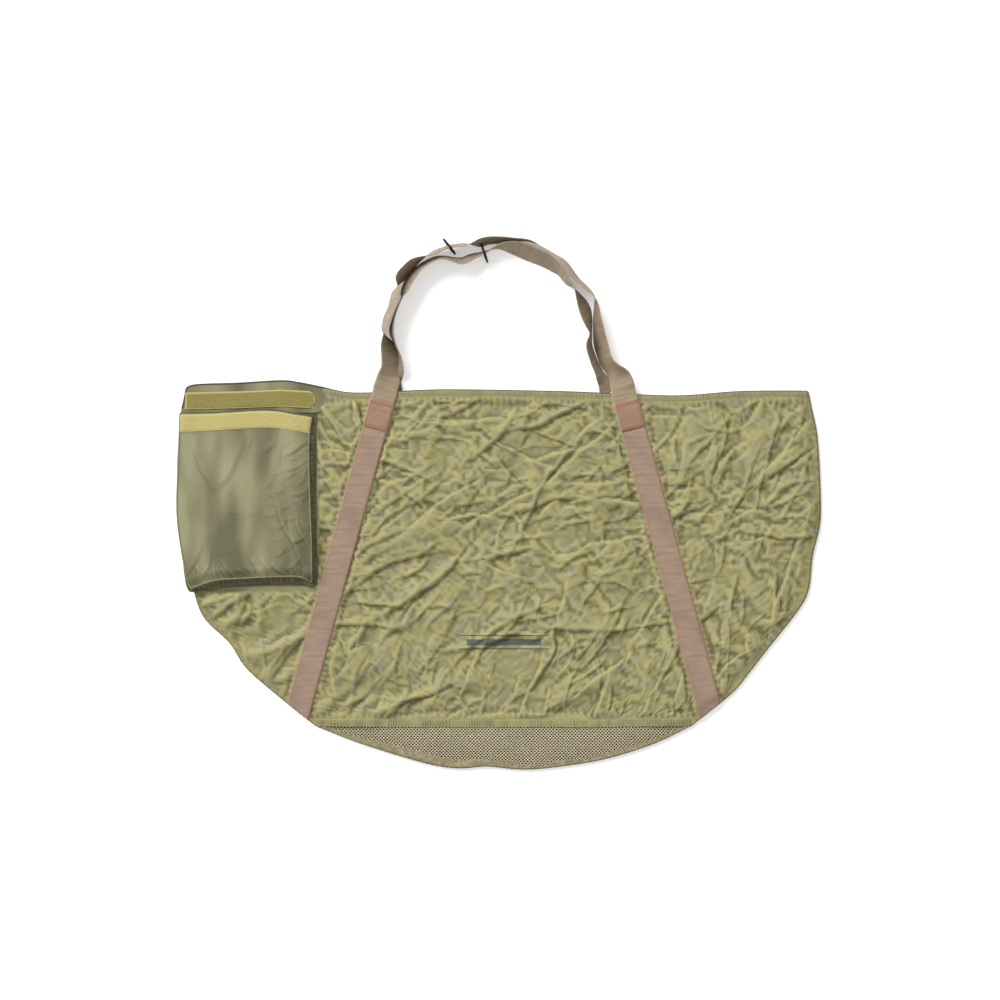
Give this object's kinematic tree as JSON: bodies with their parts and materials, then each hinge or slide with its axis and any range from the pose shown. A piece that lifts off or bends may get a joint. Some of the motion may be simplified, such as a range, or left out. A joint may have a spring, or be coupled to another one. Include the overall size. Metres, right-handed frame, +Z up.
{
  "type": "fish weigh sling",
  "caption": "Flat D-shaped carry sling with a mesh base, two twisted webbing hand loops with rings, and a flapped storage pouch.",
  "frame": {"origin": "on the ground under the middle of the sling and its hand loops together, with the sling lying on its back", "axes": "+X to the right along the mouth, +Y from the base towards the mouth and the hand loops, +Z up out of the front face"},
  "size_m": [1.062, 0.878, 0.0476],
  "materials": {
    "sling_nylon": "crinkled coated nylon with a satin sheen",
    "drain_mesh": "knitted diamond netting",
    "pouch_nylon": "smooth coated nylon, slightly glossy",
    "hook_tape": "stiff nylon hook tape",
    "loop_tape": "brushed loop tape",
    "loop_webbing": "plain woven polypropylene webbing",
    "body_webbing": "plain woven polypropylene webbing, redder than the hand loops",
    "binding": "dark grosgrain binding and inner seams",
    "thread": "bonded sewing thread",
    "ring_metal": "black coated steel wire"
  },
  "bodies": {
    "root": {"back_panel": "sling_nylon", "mouth_hem_back": "sling_nylon", "drain_mesh_back": "drain_mesh", "seam_tape_back": "sling_nylon", "side_wall_left": "binding", "side_wall_right": "binding", "base_wall": "binding", "body_strap_back_left": "body_webbing", "body_strap_back_right": "body_webbing", "loop_end_back_left": "loop_webbing", "loop_end_back_right": "loop_webbing", "box_stitch_back_left": "thread", "box_stitch_back_right": "thread"},
    "front": {"front_panel": "sling_nylon", "mouth_hem_front": "sling_nylon", "drain_mesh_front": "drain_mesh", "seam_tape_front": "sling_nylon", "body_strap_front_left": "body_webbing", "body_strap_front_right": "body_webbing", "loop_end_front_left": "loop_webbing", "loop_end_front_right": "loop_webbing", "box_stitch_front_left": "thread", "box_stitch_front_right": "thread", "pouch_back": "pouch_nylon", "pouch_gusset_left": "pouch_nylon", "pouch_gusset_right": "pouch_nylon", "pouch_gusset_bottom": "pouch_nylon"},
    "front_loop": {"hand_loop_front": "loop_webbing"},
    "back_loop": {"hand_loop_back": "loop_webbing"},
    "front_ring": {"weigh_ring_front": "ring_metal"},
    "back_ring": {"weigh_ring_back": "ring_metal"},
    "pouch_cover": {"pouch_front": "pouch_nylon", "loop_strip": "loop_tape", "pouch_piping": "binding"},
    "flap": {"pouch_flap": "pouch_nylon", "hook_strip": "hook_tape", "flap_binding": "binding"}
  },
  "joints": [
    {"name": "mouth_open", "type": "hinge", "parent": "root", "child": "front", "pos_m": [0, -0.439, 0.0139], "axis": [1, 0, 0], "range_deg": [0, 12]},
    {"name": "front_loop_lift", "type": "hinge", "parent": "front", "child": "front_loop", "pos_m": [0, 0.187, 0.0199], "axis": [1, 0, 0], "range_deg": [0, 150]},
    {"name": "back_loop_lift", "type": "hinge", "parent": "root", "child": "back_loop", "pos_m": [0, 0.1872, 0.0008], "axis": [1, 0, 0], "range_deg": [0, 70]},
    {"name": "front_ring_turn", "type": "hinge", "parent": "front_loop", "child": "front_ring", "pos_m": [-0.082, 0.4246, 0.0176], "axis": [0, 0, 1], "range_deg": [-20, 20]},
    {"name": "back_ring_turn", "type": "hinge", "parent": "back_loop", "child": "back_ring", "pos_m": [-0.024, 0.4132, 0.0176], "axis": [0, 0, 1], "range_deg": [-20, 20]},
    {"name": "flap_close", "type": "hinge", "parent": "front", "child": "flap", "pos_m": [0, 0.1505, 0.0262], "axis": [-1, 0, 0], "range_deg": [-176, 0]},
    {"name": "pouch_open", "type": "hinge", "parent": "front", "child": "pouch_cover", "pos_m": [0, -0.1446, 0.0447], "axis": [1, 0, 0], "range_deg": [0, 12]}
  ]
}
